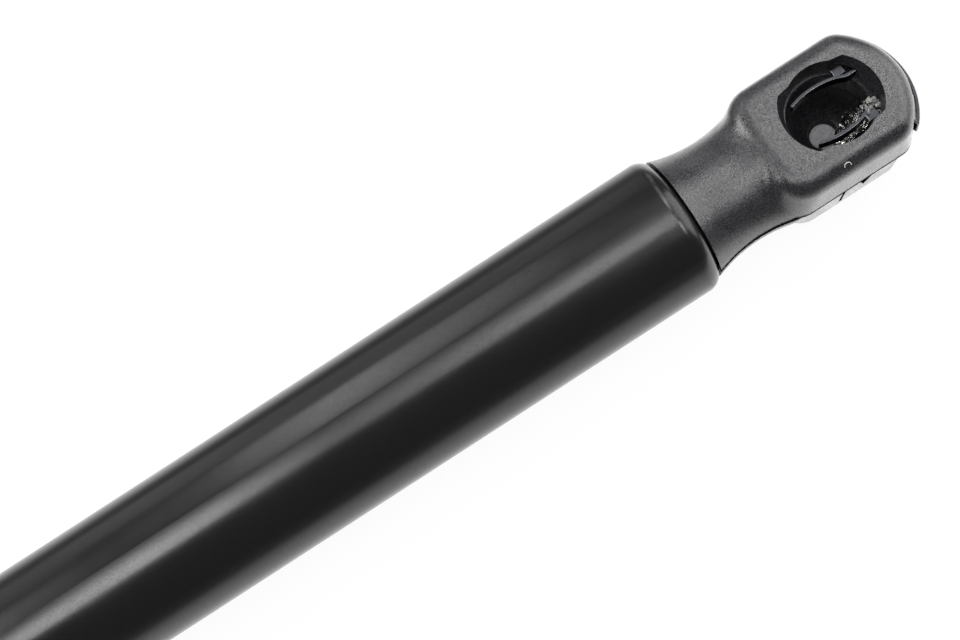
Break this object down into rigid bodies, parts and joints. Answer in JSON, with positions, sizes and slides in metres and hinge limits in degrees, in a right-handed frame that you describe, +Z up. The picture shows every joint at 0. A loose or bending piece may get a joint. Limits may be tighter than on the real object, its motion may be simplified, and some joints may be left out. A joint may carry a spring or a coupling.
{
  "type": "gas strut",
  "caption": "Tailgate gas strut with black painted tube, plated rod and moulded ball sockets held by spring clips",
  "frame": {"origin": "centre of the ball seat in the socket at the tube end", "axes": "+X along the strut from the tube end to the rod end, +Z out of the mouths of both ball sockets, +Y to the left looking along +X with +Z up"},
  "size_m": [0.423, 0.018, 0.018],
  "materials": {
    "tube_paint": "satin",
    "turned_steel": "machined",
    "sealing_rubber": "matte",
    "socket_plastic": "matte",
    "spring_steel": "satin",
    "guide_aluminium": "machined",
    "bearing_bronze": "machined",
    "backup_plastic": "matte",
    "plated_rod": "polished",
    "pressed_steel": "satin",
    "piston_aluminium": "machined",
    "ring_plastic": "matte"
  },
  "bodies": {
    "tube": {"pressure_tube": "tube_paint", "end_plug": "turned_steel", "end_plug_o_ring": "sealing_rubber", "tube_end_socket": "socket_plastic", "rod_guide": "guide_aluminium", "guide_bush": "bearing_bronze", "guide_o_ring": "sealing_rubber", "rod_wiper": "sealing_rubber", "seal_backup_ring": "backup_plastic", "rod_seal": "sealing_rubber", "seal_washer": "pressed_steel"},
    "piston_ring": {"piston_ring": "ring_plastic"},
    "rod": {"piston_rod": "plated_rod", "piston_support_washer": "pressed_steel", "piston_body": "piston_aluminium", "valve_plate": "pressed_steel", "nozzle_disc": "pressed_steel", "tail_washer": "pressed_steel", "rod_end_socket": "socket_plastic"},
    "tube_clip": {"tube_end_clip": "spring_steel"},
    "rod_clip": {"rod_end_clip": "spring_steel"}
  },
  "joints": [
    {"name": "rod_stroke", "type": "slide", "parent": "tube", "child": "piston_ring", "axis": [-1, 0, 0], "range_m": [0, 0.15], "stiffness_N_per_m": 400, "springref_m": -0.93},
    {"name": "rod_turn", "type": "hinge", "parent": "piston_ring", "child": "rod", "pos_m": [0.2, 0, 0], "axis": [1, 0, 0], "continuous": true},
    {"name": "tube_clip_release", "type": "slide", "parent": "tube", "child": "tube_clip", "axis": [-1, 0, 0], "range_m": [0, 0.01]},
    {"name": "rod_clip_release", "type": "slide", "parent": "rod", "child": "rod_clip", "axis": [1, 0, 0], "range_m": [0, 0.01]}
  ]
}
